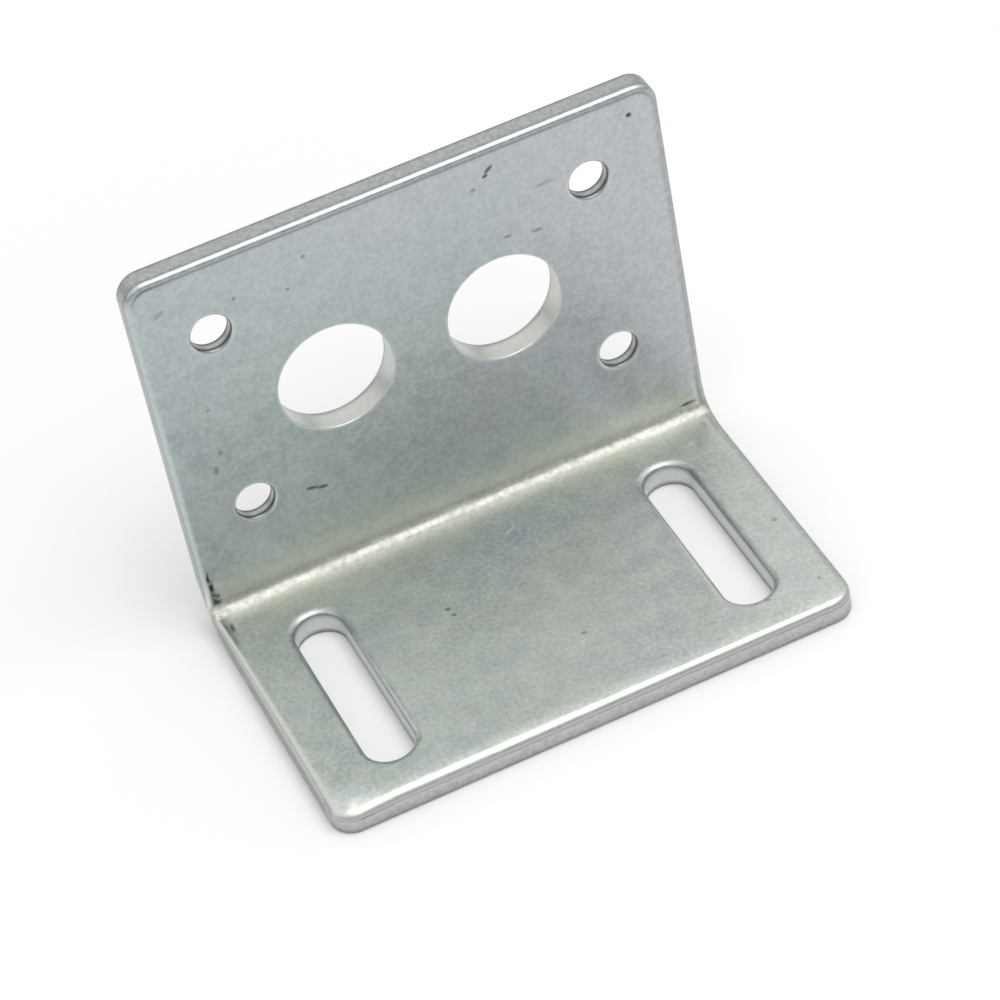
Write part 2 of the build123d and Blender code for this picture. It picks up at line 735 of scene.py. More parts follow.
@dataclass(frozen=True)
class FaceFiller:
    """Meshes one flat face of the plate between the loops that its edges end in."""

    plate: Plate
    cuts: list[CutOut]
    marks: list[Mark]
    pitch: float = 0.6 * MM
    fold_steps: int = 22
    fold_columns: int = 71
    clear_of_marks: float = 1.7

    def lattice(self, clearance: float) -> np.ndarray:
        """Even points over both flats.

        Args:
            clearance: how far they stay from every cut edge.

        Returns:
            x and y of each point.
        """
        rise = self.pitch * math.sqrt(3) / 2
        rows = np.arange(0.0, self.plate.strip_length, rise)
        columns = np.arange(-self.plate.width / 2, self.plate.width / 2, self.pitch)
        x, y = np.meshgrid(columns, rows)
        x = x + (np.arange(len(rows)) % 2)[:, None] * self.pitch / 2
        points = np.stack([x.ravel(), y.ravel()], axis=1)
        start, end = self.plate.foot_flat, self.plate.foot_flat + self.plate.fold_length
        keep = (points[:, 1] < start - rise / 2) | (points[:, 1] > end + rise / 2)
        for cut in self.cuts:
            keep &= cut.distance(points) > clearance
        for mark in self.marks:
            keep &= mark.local(points, self.plate) > self.clear_of_marks
        return points[keep]

    def fold_rows(self, reach: float) -> tuple[np.ndarray, np.ndarray]:
        """Rows of points across the fold, so that it bends smoothly.

        Args:
            reach: how far the rows' ends stay from the plate's sides.

        Returns:
            x and y of each point, and the pairs of points that each row joins.
        """
        half = self.plate.width / 2 - reach
        columns = np.linspace(-half, half, self.fold_columns)
        rows = self.plate.foot_flat + np.linspace(0.0, self.plate.fold_length, self.fold_steps + 1)
        x, y = np.meshgrid(columns, rows)
        number = np.arange(x.size).reshape(x.shape)
        pairs = np.stack([number[:, :-1].ravel(), number[:, 1:].ravel()], axis=1)
        return np.stack([x.ravel(), y.ravel()], axis=1), pairs

    def fill(
        self, rim: np.ndarray, pairs: np.ndarray, reach: float, marked: bool
    ) -> tuple[np.ndarray, np.ndarray]:
        """Fills one face with triangles.

        Args:
            rim: x and y of the loops' points.
            pairs: the loops' edges, as numbers of those points.
            reach: how far the edges' sections run in over this face.
            marked: whether the face carries the marks.

        Returns:
            x and y of the points added after the rim's, and triangles over all of them.
        """
        rows, row_pairs = self.fold_rows(reach + 0.2 * MM)
        parts = [rim, rows, self.lattice(reach + 0.3 * self.pitch)]
        if marked:
            rings = np.concatenate([mark.rings(self.plate) for mark in self.marks])
            clear = np.min([cut.distance(rings) for cut in self.cuts], axis=0) > reach + 0.1 * self.pitch
            parts.append(rings[clear])
        points = np.concatenate(parts)
        edges = np.concatenate([pairs, row_pairs + len(rim)])
        found, _, triangles, origin, _, _ = delaunay_2d_cdt(
            [Vector(point) for point in points / MM], [tuple(map(int, edge)) for edge in edges], [], 0, 1e-5
        )
        number = np.array([first[0] if first else -1 for first in origin])
        added = [points]
        for index in np.flatnonzero(number < 0):
            number[index] = sum(map(len, added))
            added.append(np.array([found[index][:]]) * MM)
        corners = number[np.array([tuple(t) for t in triangles])]
        return np.concatenate(added)[len(rim) :], corners[self.enclosed(corners, pairs, len(rim))]

    @staticmethod
    def enclosed(corners: np.ndarray, pairs: np.ndarray, rim_count: int) -> np.ndarray:
        """Finds the triangles that lie in the plate, not in its holes or outside its outline.

        Args:
            corners: the triangles, as numbers of points.
            pairs: the loops' edges, which nothing spreads across.
            rim_count: how many of the points lie on the loops.

        Returns:
            For each triangle, whether it lies in the plate.
        """
        walls = {tuple(sorted(pair)) for pair in pairs.tolist()}
        beside: dict[tuple[int, int], list[int]] = {}
        for index, (a, b, c) in enumerate(corners.tolist()):
            for pair in ((a, b), (b, c), (c, a)):
                beside.setdefault(tuple(sorted(pair)), []).append(index)
        inside = (corners >= rim_count).any(axis=1)
        waiting = np.flatnonzero(inside).tolist()
        while waiting:
            a, b, c = corners[waiting.pop()].tolist()
            for pair in ((a, b), (b, c), (c, a)):
                key = tuple(sorted(pair))
                if key in walls:
                    continue
                for other in beside[key]:
                    if not inside[other]:
                        inside[other] = True
                        waiting.append(other)
        return inside


@dataclass(frozen=True)
class ZincFinish:
    """Bright zinc plate on cold-rolled steel: satin faces, burnished edges, grey sheared walls, with painted
    highlights, sheen and shade laid over them.

    The plate's own attributes say where each colour shows. Four noise patterns, given in repeats a
    metre, break them up: clouds of hue, patches, the film's grain, and the crumbled crest of the fold.
    """

    name: str = "zinc_plate_satin"
    teal: Colour = (0.482, 0.540, 0.554)
    lilac: Colour = (0.515, 0.541, 0.580)
    straw: Colour = (0.520, 0.542, 0.486)
    # colour of the rolled edges' burnish and painted highlight, and of the painted glints
    burnish_and_highlight: Colour = (0.735, 0.750, 0.730)
    # colour of the painted sheen along the fold
    fold_sheen_colour: Colour = (0.700, 0.725, 0.640)
    # painted tint of the fold's highlight
    fold_highlight_tint: Colour = (0.485, 0.480, 0.450)
    bare: Colour = (0.552, 0.534, 0.562)
    # colour of the sheared walls, and of painted shade on some rolled edges
    sheared: Colour = (0.360, 0.378, 0.368)
    sheared_contrast: float = 1.25
    # dark colour of the marks, and of the painted shade in seams, crease and screw-hole rims
    grime_and_shade: Colour = (0.060, 0.060, 0.058)
    roughness: float = 0.37
    cloud_pace: float = 170.0
    patch_pace: float = 520.0
    grain_pace: float = 2600.0
    crumb_pace: float = 2100.0
    # painted light on the foot, painted shade on the flange
    foot_painted_light: float = 1.05
    flange_painted_shade: float = 0.96
    crumb_height: float = 2.2
    bump_strength: float = 0.14
    bump_depth: float = 0.06 * MM

    def material(self) -> bpy.types.Material:
        """Builds the material.

        Returns:
            The new material.
        """
        material = bpy.data.materials.new(self.name)
        graph = Graph.of(material)
        place = graph.add("ShaderNodeTexCoord").outputs["Object"]
        patch = self.noise(graph, place, self.patch_pace, 2.0, (0.31, 0.17, 0.05))
        grain = self.noise(graph, place, self.grain_pace, 3.0)
        crumb = self.noise(graph, place, self.crumb_pace, 3.0, (0.07, 0.41, 0.23))
        colour = self.film(graph, place, patch, grain, crumb)
        colour = self.edges_and_flaws(graph, colour, grain)

        folded = self.share(graph, "folded")
        rough = graph.math("ADD", graph.ramp(grain, 0.3, 0.7, -0.04, 0.05), self.roughness)
        rough = graph.math("ADD", rough, graph.ramp(patch, 0.3, 0.7, -0.03, 0.04))
        rough = graph.math("ADD", rough, graph.math("MULTIPLY", folded, 0.12))
        rough = graph.math("ADD", rough, graph.math("MULTIPLY", self.share(graph, "sheared"), 0.10))
        rugged = graph.math("MULTIPLY", graph.math("MULTIPLY", folded, self.crumb_height), crumb)
        bump = graph.add(
            "ShaderNodeBump",
            {
                "Height": graph.math("ADD", grain, rugged),
                "Strength": self.bump_strength,
                "Distance": self.bump_depth,
            },
        )
        shader = graph.add(
            "ShaderNodeBsdfPrincipled",
            {"Base Color": colour, "Metallic": 1.0, "Roughness": rough, "Normal": bump.outputs[0]},
        )
        graph.add("ShaderNodeOutputMaterial", {"Surface": shader.outputs[0]})
        return material

    def film(self, graph: Graph, place: Any, patch: Any, grain: Any, crumb: Any) -> bpy.types.NodeSocket:
        """Mixes the zinc film's hues, its lighter and darker places, and its painted light and shade.

        Args:
            graph: the material's nodes.
            place: the coordinates that the noise follows.
            patch: the noise of its patches.
            grain: the noise of its grain.
            crumb: the noise of the fold's crest.

        Returns:
            The socket with the film's colour.
        """
        lilac, aged, folded = (self.share(graph, name) for name in ("lilac", "aged", "folded"))
        cloud = self.noise(graph, place, self.cloud_pace, 3.0)
        lilac = graph.math("ADD", lilac, graph.ramp(cloud, 0.3, 0.7, -0.10, 0.10))
        aged = graph.math("ADD", aged, graph.ramp(patch, 0.3, 0.7, -0.05, 0.05))
        colour = graph.blend(graph.ramp(lilac, 0.0, 1.0), self.teal, self.lilac)
        colour = graph.blend(graph.ramp(aged, 0.0, 1.0), colour, self.straw)
        # painted light and shade by height: the foot lighter, the flange darker
        height = graph.add("ShaderNodeSeparateXYZ", {0: place}).outputs["Z"]
        painted_height_light = graph.ramp(height, 3.0 * MM, 4.5 * MM, self.foot_painted_light, self.flange_painted_shade)
        mottle = graph.ramp(grain, 0.3, 0.7, -0.085, 0.085)
        tone = graph.math("ADD", graph.ramp(patch, 0.3, 0.7, 0.96, 1.04), mottle)
        tone = graph.math("MULTIPLY", tone, painted_height_light)
        worn = graph.math("MULTIPLY", folded, graph.ramp(crumb, 0.3, 0.7, -0.24, 0.08))
        # the clouds add their painted light and shade
        tone = graph.math("ADD", graph.math("ADD", tone, worn), self.share(graph, "shade"))
        shade = graph.add("ShaderNodeCombineColor", {0: tone, 1: tone, 2: tone}).outputs[0]
        for name, amount, worked in (
            # painted sheen along the fold
            ("rubbed", 0.6, self.fold_sheen_colour),
            # painted tint of the fold's highlight, on its crest
            ("folded", 0.75, self.fold_highlight_tint),
            ("bare", 0.8, self.bare),
        ):
            colour = graph.blend(graph.math("MULTIPLY", self.share(graph, name), amount), colour, worked)
        return graph.blend(1.0, colour, shade, "MULTIPLY")

    def edges_and_flaws(self, graph: Graph, colour: Any, grain: Any) -> bpy.types.NodeSocket:
        """Lays the rolled edges with their painted highlight, the torn walls, the painted shade along the
        seams and in the crease, and the marks with their painted glints over the film.

        Args:
            graph: the material's nodes.
            colour: the film's colour.
            grain: the noise of its grain.

        Returns:
            The socket with the whole colour.
        """
        rolled, sheared, seam, marked = (
            self.share(graph, name) for name in ("rolled", "sheared", "seam", "marked")
        )
        # rolled edges: burnish with a painted highlight on it, strongest along the left foot and the front
        colour = graph.blend(graph.math("MULTIPLY", rolled, 0.8), colour, self.burnish_and_highlight)
        pale = tuple(part * self.sheared_contrast for part in self.sheared)
        torn = graph.blend(graph.ramp(grain, 0.35, 0.65), self.sheared, pale)
        colour = graph.blend(sheared, colour, torn)
        # painted shade: dark lines along the seams of the cut edges
        colour = graph.blend(graph.math("MULTIPLY", seam, 0.7), colour, self.grime_and_shade)
        colour = graph.blend(graph.math("MAXIMUM", marked, 0.0), colour, self.grime_and_shade)
        # marks below 0 paint glints, mixed toward the bright colour
        bright = graph.math("MAXIMUM", graph.math("MULTIPLY", marked, -1.0), 0.0)
        return graph.blend(bright, colour, self.burnish_and_highlight)

    @staticmethod
    def share(graph: Graph, name: str) -> bpy.types.NodeSocket:
        """The socket with one of the plate's own attributes."""
        return graph.add("ShaderNodeAttribute", attribute_name=name).outputs["Fac"]

    @staticmethod
    def noise(
        graph: Graph, place: Any, scale: float, detail: float, shift: tuple[float, float, float] | None = None
    ) -> bpy.types.NodeSocket:
        """Adds a noise pattern.

        Args:
            graph: the material's nodes.
            place: the coordinates that it follows.
            scale: how fine it is, in repeats a metre.
            detail: how many finer layers it has.
            shift: where the pattern starts.

        Returns:
            The socket with the pattern, about 0.3 to 0.7.
        """
        if shift:
            place = graph.add("ShaderNodeMapping", {"Vector": place, "Location": shift}).outputs[0]
        node = graph.add("ShaderNodeTexNoise", {"Vector": place, "Scale": scale, "Detail": detail})
        return node.outputs["Fac"]


class Points:
    """The plate's points: where each was cut, where it lies now, and what it is near. In metres."""

    front_fade = 3.0 * MM
    top_fade = 2.0 * MM
    crease_inset = 0.68 * MM
    crease_width = 0.13 * MM
    crease_past_fold = 0.9 * MM
    crease_reach = 3.2 * MM
    crease_share_right = 0.3

    def __init__(self, mesh: bpy.types.Mesh, plate: Plate, cuts: list[CutOut]) -> None:
        """Reads and measures the points of the flat plate.

        Args:
            mesh: the flat plate.
            plate: its sizes.
            cuts: every family of cut edges, in the order of `Edge`.
        """
        place = np.empty(len(mesh.vertices) * 3)
        mesh.vertices.foreach_get("co", place)
        place = place.reshape(-1, 3)
        self.mesh, self.plate, self.cuts = mesh, plate, cuts
        self.flat, self.height = place[:, :2], place[:, 2]
        self.x, self.y, self.z = place.T.copy()
        self.up = self.height / plate.sheet
        self.inner_half = self.up > 0.5
        self.inner_face = self.up > 0.98
        self.upper = np.clip(2 * self.up - 1, 0, 1)
        gaps = [cut.distance(self.flat) for cut in cuts]
        self.from_edge = np.min(gaps, axis=0)
        self.nearest = np.argmin(gaps, axis=0)
        self.from_side = plate.width / 2 - np.abs(self.x)
        self.past_fold = np.abs(self.y - plate.fold_middle) - plate.fold_length / 2

    def near(self, edge: Edge) -> np.ndarray:
        """Whether each point is nearest to an edge of this family."""
        return self.nearest == edge

    def of_edge(self, size: str) -> np.ndarray:
        """A size of the section of the edge that each point is nearest to."""
        return np.array([getattr(cut.section, size) for cut in self.cuts])[self.nearest]

    def at_front(self) -> np.ndarray:
        """1 at the outline's free edge in front, fading out along the foot."""
        return fade(self.y, self.front_fade) * self.near(Edge.OUTLINE)

    def at_top(self) -> np.ndarray:
        """1 at the flange's top, fading out down the flange."""
        return fade(self.plate.strip_length - self.y, self.top_fade)

    def on_foot(self) -> np.ndarray:
        """Whether each point lies before the fold."""
        return self.y < self.plate.foot_flat

    def crease(self) -> np.ndarray:
        """How deep each point lies in the crease that folding leaves beside both ends of the fold.

        Returns:
            1 at the crease's deepest on the left and less on the right, falling off to 0.
        """
        groove = bell(self.from_side - self.crease_inset, self.crease_width)
        run = fade(np.abs(self.past_fold - self.crease_past_fold), self.crease_reach) ** 0.8
        run = run * (self.up > 0.9) * (self.past_fold > -0.6 * MM)
        return groove * run * np.where(self.x < 0, 1.0, self.crease_share_right)

    def write(self, shares: dict[str, np.ndarray]) -> None:
        """Puts the points where they lie now, and gives the mesh its attributes.

        Args:
            shares: one value a point for each attribute's name.
        """
        self.mesh.vertices.foreach_set("co", np.stack([self.x, self.y, self.z], axis=1).ravel())
        for name, values in shares.items():
            attribute = self.mesh.attributes.new(name, "FLOAT", "POINT")
            attribute.data.foreach_set("value", values.astype(np.float32))
        self.mesh.update()


@dataclass(frozen=True)
class Relief:
    """What blanking, folding and handling do to the plate's shape. Sizes in metres.

    The shares of the roll say how wide the outline's rolled edge is beside the width of its section.
    """

    plate: Plate
    marks: list[Mark]
    roll_sides: float = 0.9
    roll_top: float = 0.52
    roll_left_foot: float = 1.45
    roll_front: float = 1.58
    roll_front_taper: float = 0.45
    front_sag: float = 0.14 * MM
    corner_sag: float = 0.22 * MM
    front_sag_reach: float = 0.8 * MM
    fold_ease: float = 0.055 * MM
    fold_ease_taper: float = 1.4
    fold_ease_width: float = 1.1 * MM
    fold_crest: float = 0.36
    fold_crest_slant: float = 0.12
    fold_grain: float = 0.006 * MM
    fold_end: float = 2.6 * MM
    fold_bulge: float = 0.20 * MM
    outer_draw_in: float = 0.13 * MM
    fold_end_lift: float = 0.05 * MM
    crease_depth: float = 0.15 * MM
    waviness: float = 0.008 * MM
    raggedness: float = 0.012 * MM
    lip_share: float = 0.2

    def press(self, points: Points) -> None:
        """Moves the points, from the largest shapes to the smallest.

        Args:
            points: the points of the flat plate.
        """
        self.vary_roll(points)
        self.sag_edges(points)
        self.ease_fold(points)
        self.squeeze_ends(points)
        self.roughen(points)
        self.dent(points)

    def vary_roll(self, points: Points) -> None:
        """Makes the outline's rolled edge wider or tighter from place to place, as a blanking die does.

        It is tight along the flange's top, and wide at the foot's free edge, most of all at its left end.

        Args:
            points: the points, still as they were cut.
        """
        plate, outline = self.plate, points.cuts[Edge.OUTLINE]
        deep, step = outline.distance(points.flat), 0.01 * MM
        ahead = [outline.distance(points.flat + np.array(way) * step) - deep for way in ((1, 0), (0, 1))]
        inward = np.stack(ahead, axis=1)
        inward /= np.maximum(np.linalg.norm(inward, axis=1, keepdims=True), 1e-12)
        front = fade(points.y, 3 * MM)
        top = fade(plate.strip_length - points.y, 3 * MM)
        left_foot = (points.x < 0) * np.clip(1.6 * (1 - points.y / plate.foot_flat), 0, 1)
        scale = self.roll_sides + (self.roll_top - self.roll_sides) * top
        scale = np.maximum(scale, self.roll_sides + (self.roll_left_foot - self.roll_sides) * left_foot)
        to_right = points.x / plate.width + 0.5
        scale += (self.roll_front - self.roll_front_taper * to_right - scale) * front
        roll, reach = outline.section.roll, outline.section.inner_reach()
        onward = roll * scale + (deep - roll) * (reach - roll * scale) / (reach - roll)
        moved = np.where(deep < roll, deep * scale, np.minimum(onward, reach))
        drop = plate.sheet - points.z
        near = (deep < reach) & (drop < roll * 1.001)
        shift = np.where(near, moved - deep, 0.0)
        points.x += shift * inward[:, 0]
        points.y += shift * inward[:, 1]
        points.z = np.where(near, plate.sheet - drop * scale, points.z)

    def sag_edges(self, points: Points) -> None:
        """Lets the inner face dip towards every edge, most of all at the foot's front left corner.

        Args:
            points: the points, which it moves.
        """
        front, inset = points.at_front(), 1.5 * MM
        from_corner = np.hypot(points.x + self.plate.width / 2 - inset, points.y - inset)
        corner_share = np.clip(1.3 * (1 - from_corner / (4 * MM)), 0, 1) * points.near(Edge.OUTLINE)
        depth = points.of_edge("sag") + self.front_sag * front + self.corner_sag * corner_share
        reach = points.of_edge("sag_reach") + self.front_sag_reach * (front + corner_share)
        points.z -= depth * fade(points.from_edge, reach) ** 2 * points.upper

    def ease_fold(self, points: Points) -> None:
        """Swells the inner face where the fold begins, unevenly and most of all at the left.

        Args:
            points: the points, which it moves.
        """
        share = points.x / self.plate.width
        along_fold = self.fold_crest - self.fold_crest_slant * share
        crest = self.plate.foot_flat + along_fold * self.plate.fold_length
        height = self.fold_ease * (1 - self.fold_ease_taper * share)
        height += self.fold_grain * ripple(points.x, points.y, (4200.0, 2600.0), 19)
        points.z += height * bell(points.y - crest, self.fold_ease_width) * points.upper

    def squeeze_ends(self, points: Points) -> None:
        """Squeezes the fold's ends out at the inner face and in at the outer one, and creases them.

        Args:
            points: the points, which it moves.
        """
        end = fade(points.from_side, self.fold_end) ** 2 * bell(np.maximum(points.past_fold, 0), 1.1 * MM)
        end *= bell(points.y - self.plate.fold_middle, 3.0 * MM)
        push = self.fold_bulge * np.clip(points.up, 0, 1) ** 1.5 - self.outer_draw_in * (1 - points.up)
        points.x += np.sign(points.x) * end * push
        points.z += end * self.fold_end_lift * points.inner_half
        points.z -= self.crease_depth * points.crease()

    def roughen(self, points: Points) -> None:
        """Makes the faces a little wavy, the outer one only inwards, and the edges a little ragged.

        Args:
            points: the points, which it moves.
        """
        wave = self.waviness * ripple(points.x, points.y, (310.0, 270.0), 3)
        wave = np.where(points.up < 0.5, np.abs(wave), wave)
        points.z += wave * np.clip(points.from_edge / (1.5 * MM), 0, 1)
        ragged = self.raggedness * ripple(points.x, points.y, (2300.0, 2700.0), 7)
        points.z += ragged * (points.up > 0.6) * fade(points.from_edge, points.of_edge("roll") + 0.3 * MM)

    def dent(self, points: Points) -> None:
        """Presses every mark into its face, with a low lip round it.

        Args:
            points: the points, which it moves.
        """
        for mark in self.marks:
            local = mark.local(points.flat, self.plate)
            dip = np.clip(1 - local**2, 0, 1) ** 1.5 - self.lip_share * bell(local - 1.15, 0.2)
            points.z -= np.where(points.inner_face, mark.kind.depth * dip, 0)


@dataclass(frozen=True)
class Masks:
    """Where each part of the finish shows, as one value a point: 0 for not at all, 1 for fully."""

    marks: list[Mark]
    clouds: list[Cloud]
    # how much burnish and painted highlight each rolled edge gets
    burnish_and_highlight_left_foot: float = 1.0
    burnish_and_highlight_sides: float = 0.25
    burnish_and_highlight_top: float = 0.35
    burnish_and_highlight_holes: float = 0.8
    burnish_and_highlight_slots: float = 0.4
    burnish_and_highlight_bores: float = 0.5
    # painted shade on the right side's roll and on the slots' far ends
    shade_right_side: float = 0.8
    shade_slot_end: float = 0.65
    torn_screw_hole: float = 0.35
    upper_seam: float = 0.45
    upper_seam_more: float = 0.2
    lower_seam: float = 0.4
    lower_seam_front: float = 0.25
    seam_top: float = 1.1
    seam_screw_hole: float = 1.2
    seam_shaft_hole: float = 0.35
    seam_slot: float = 0.9
    bare_slot: float = 0.5
    # painted shade in the crease
    crease_shade: float = 0.9
    rim_shade: float = 0.55

    def find(self, points: Points) -> dict[str, np.ndarray]:
        """Finds every mask.

        Args:
            points: the points, with their relief.

        Returns:
            The masks by the names that the finish knows them by.
        """
        depth_share = points.of_edge("roll_depth") / points.plate.sheet
        wall = (points.from_edge < 0.02 * MM) & (points.up < 1 - 0.98 * depth_share)
        seam, rim = self.seams(points)
        bare = self.bare_slot * points.near(Edge.SLOT) + (points.at_front() > 0)
        clouds = [cloud.share(points.flat, points.plate) * points.inner_half for cloud in self.clouds]
        # painted light and shade, and straw tint, of the clouds
        shade = sum(cloud.tone * share for cloud, share in zip(self.clouds, clouds))
        straw = sum(cloud.straw * share for cloud, share in zip(self.clouds, clouds))
        return {
            **self.edges(points, wall),
            **self.fold(points),
            **self.hues(points, wall, straw),
            "seam": seam,
            # the screw holes' rims and ledges get painted shade along with the marks
            "marked": np.clip(self.flaws(points) + self.rim_shade * rim, -1, 1),
            "bare": wall * bare,
            "shade": shade,
        }

    def flaws(self, points: Points) -> np.ndarray:
        """Adds up the marks, with their painted glints, and the painted shade in the crease.

        Args:
            points: the points, with their relief.

        Returns:
            How dark, or below 0 how bright, they make each point.
        """
        # painted shade darkens the crease beside each end of the fold
        total = self.crease_shade * points.crease()
        for mark in self.marks:
            soft = np.clip((1.15 - mark.local(points.flat, points.plate)) / 0.5, 0, 1) * mark.kind.tone
            total += np.where(points.inner_face, soft, 0)
        return total

    def edges(self, points: Points, wall: np.ndarray) -> dict[str, np.ndarray]:
        """Where the rolled edges are burnished and carry a painted highlight, where the walls are torn, and
        where painted shade dims an edge.

        Args:
            points: the points, with their relief.
            wall: whether each point lies on the wall of a cut.

        Returns:
            The masks of the rolled edges, and of the sheared walls with the painted shade on some edges.
        """
        outline, front, top = points.near(Edge.OUTLINE), points.at_front(), points.at_top()
        roll = points.of_edge("roll")
        over = fade(points.from_edge - 0.15 * roll, 0.85 * roll + 0.1 * MM) * points.inner_half
        # painted highlight with the burnish: full on the left foot's edge and the front, less elsewhere
        side = np.where((points.x < 0) & points.on_foot(), self.burnish_and_highlight_left_foot, self.burnish_and_highlight_sides)
        burnish_and_highlight_share = np.where(points.near(Edge.SLOT), self.burnish_and_highlight_slots, self.burnish_and_highlight_holes)
        burnish_and_highlight_share = np.where(outline, np.maximum(side, np.maximum(front, self.burnish_and_highlight_top * top)), burnish_and_highlight_share)
        bored = points.near(Edge.SHAFT_HOLE) | points.near(Edge.SLOT)
        rolled = np.where(wall, self.burnish_and_highlight_bores * bored, over * burnish_and_highlight_share)

        torn = 0.75 + 0.25 * np.maximum(top, points.on_foot())
        torn = np.where(front > 0, np.clip(1.12 - 1.5 * points.up, 0, 1), torn)
        # painted shade: the right side's roll and the slots' far ends are dimmed toward the sheared colour
        right_side = (points.x > 0) * outline * (1 - front) * (1 - top) * points.inner_half
        edge_shade = self.shade_right_side * right_side * fade(points.from_edge - 0.55 * MM, 0.25 * MM)
        slots = points.cuts[Edge.SLOT]
        slot_end = points.near(Edge.SLOT) * (points.y > slots.centre[1] + 0.3 * slots.length)
        edge_shade = np.maximum(edge_shade, self.shade_slot_end * slot_end * over)
        walls = np.where(outline, torn, self.torn_screw_hole * points.near(Edge.SCREW_HOLE))
        return {"rolled": rolled, "sheared": np.where(wall, walls, edge_shade)}

    def seams(self, points: Points) -> tuple[np.ndarray, np.ndarray]:
        """Finds the painted shade lines where a roll meets its wall, and a wall the outer face.

        Args:
            points: the points, with their relief.

        Returns:
            How much painted shade each seam gets, and how much the screw holes' rims and ledges get.
        """
        height, outline, front = points.height, points.near(Edge.OUTLINE), points.at_front()
        left_foot = (points.x < 0) * points.on_foot() * (front < 0.5) * outline
        below_roll = np.abs(height - points.plate.sheet + points.of_edge("roll_depth"))
        upper = bell(below_roll, (0.13 + 0.17 * left_foot + 0.05 * (front > 0)) * MM)
        upper = upper * (points.from_edge < (0.12 + 0.10 * left_foot) * MM)
        lower = (height < 0.24 * MM) * (points.from_edge < 0.45 * MM) * (height > 0.005 * MM)
        hole = points.cuts[Edge.SCREW_HOLE].section
        ledge = bell(height - hole.outer_break - hole.countersink, 0.20 * MM) * (points.from_edge < 0.3 * MM)
        rim = np.maximum(ledge, upper)
        more = self.upper_seam_more * left_foot + self.upper_seam_more * (front > 0)
        along_outline = (self.upper_seam + more) * upper
        along_outline += np.where(front > 0, self.lower_seam_front, self.lower_seam) * lower
        seam = np.choose(
            points.nearest,
            [
                along_outline,
                self.seam_screw_hole * rim,
                self.seam_shaft_hole * lower,
                np.maximum(self.upper_seam * upper, self.seam_slot * lower),
            ],
        )
        # painted shade: a dark line under the flange's top roll, darker towards its left corner
        below_top = bell(points.from_edge - 0.58 * MM, 0.12 * MM) * points.inner_half
        at_left = 1 + 0.5 * bell(points.x + 21.5 * MM, 2.0 * MM)
        seam = seam + self.seam_top * points.at_top() * below_top * at_left
        return seam, rim * points.near(Edge.SCREW_HOLE)

    @staticmethod
    def fold(points: Points) -> dict[str, np.ndarray]:
        """Where the fold's crest lies, rougher and crumbled and with a painted tint for its highlight, and
        where a painted sheen runs along the fold, farther up the flange than down the foot.

        Args:
            points: the points, with their relief.

        Returns:
            The masks of the fold's crest and of the painted sheen along the fold.
        """
        plate = points.plate
        crest = plate.foot_flat + 0.38 * plate.fold_length
        folded = bell(points.y - crest, 1.2 * MM) * points.inner_half
        # painted sheen along the fold, reaching farther up the flange than down the foot
        above = points.y - plate.foot_flat - 0.8 * plate.fold_length
        rubbed = bell(above, np.where(above > 0, 2.6, 0.9) * MM)
        blot = ripple(points.x, points.y, (1500.0, 1300.0), 13)
        uneven = 0.45 + 0.1 * blot + 0.9 * np.abs(points.x / plate.width + 0.1)
        return {"folded": folded, "rubbed": rubbed * np.clip(uneven, 0, 1) * points.inner_half}

    @staticmethod
    def hues(points: Points, wall: np.ndarray, straw: np.ndarray) -> dict[str, np.ndarray]:
        """Where the film turns from teal to lilac, and where it turns to straw; the lilac up the flange and
        the straw just above the fold are painted reflections.

        Args:
            points: the points, with their relief.
            wall: whether each point lies on the wall of a cut.
            straw: how much the clouds add to the straw.

        Returns:
            The masks of the lilac and of the straw tint.
        """
        x, y, plate = points.x, points.y, points.plate
        above = y - plate.fold_middle
        flange = np.clip(above / (2 * MM), 0, 1)
        rise = 0.22 * flange + 0.78 * np.clip(above / (18 * MM), 0, 1)
        drift, blot = ripple(x, y, (420.0, 380.0), 11), ripple(x, y, (1500.0, 1300.0), 13)
        # lilac rising to the right, up the flange and at its top: a painted reflection of a bluish floor in
        # front; the drift and blots are the film's own hue
        lilac = (0.5 + x / (30 * MM) + 0.20 * drift + 0.12 * blot) * (0.5 - 0.2 * flange + 0.7 * rise)
        lilac += 0.5 * fade(plate.strip_length - y, 7 * MM)
        lilac += 0.35 * np.clip((-x - 16 * MM) / (4 * MM), 0, 1) * (1 - flange)
        from_fold = np.maximum(points.past_fold, 0)
        # straw just above the fold: a painted reflection of the foot; on the foot, and in the drift and
        # blots, the film's own straw hue
        aged = 0.28 * bell(from_fold, 2.6 * MM) + 0.68 * (1 - flange)
        aged += 0.25 * bell(from_fold, 9.0 * MM) * flange
        aged += 0.09 * drift + 0.08 * blot + straw
        aged *= np.where(points.inner_half, 1.0, 0.5)
        aged = np.where(wall, np.where(points.near(Edge.SHAFT_HOLE), 1.0, 0.15), aged)
        return {"lilac": np.clip(lilac, 0, 1), "aged": np.clip(aged, 0, 1)}


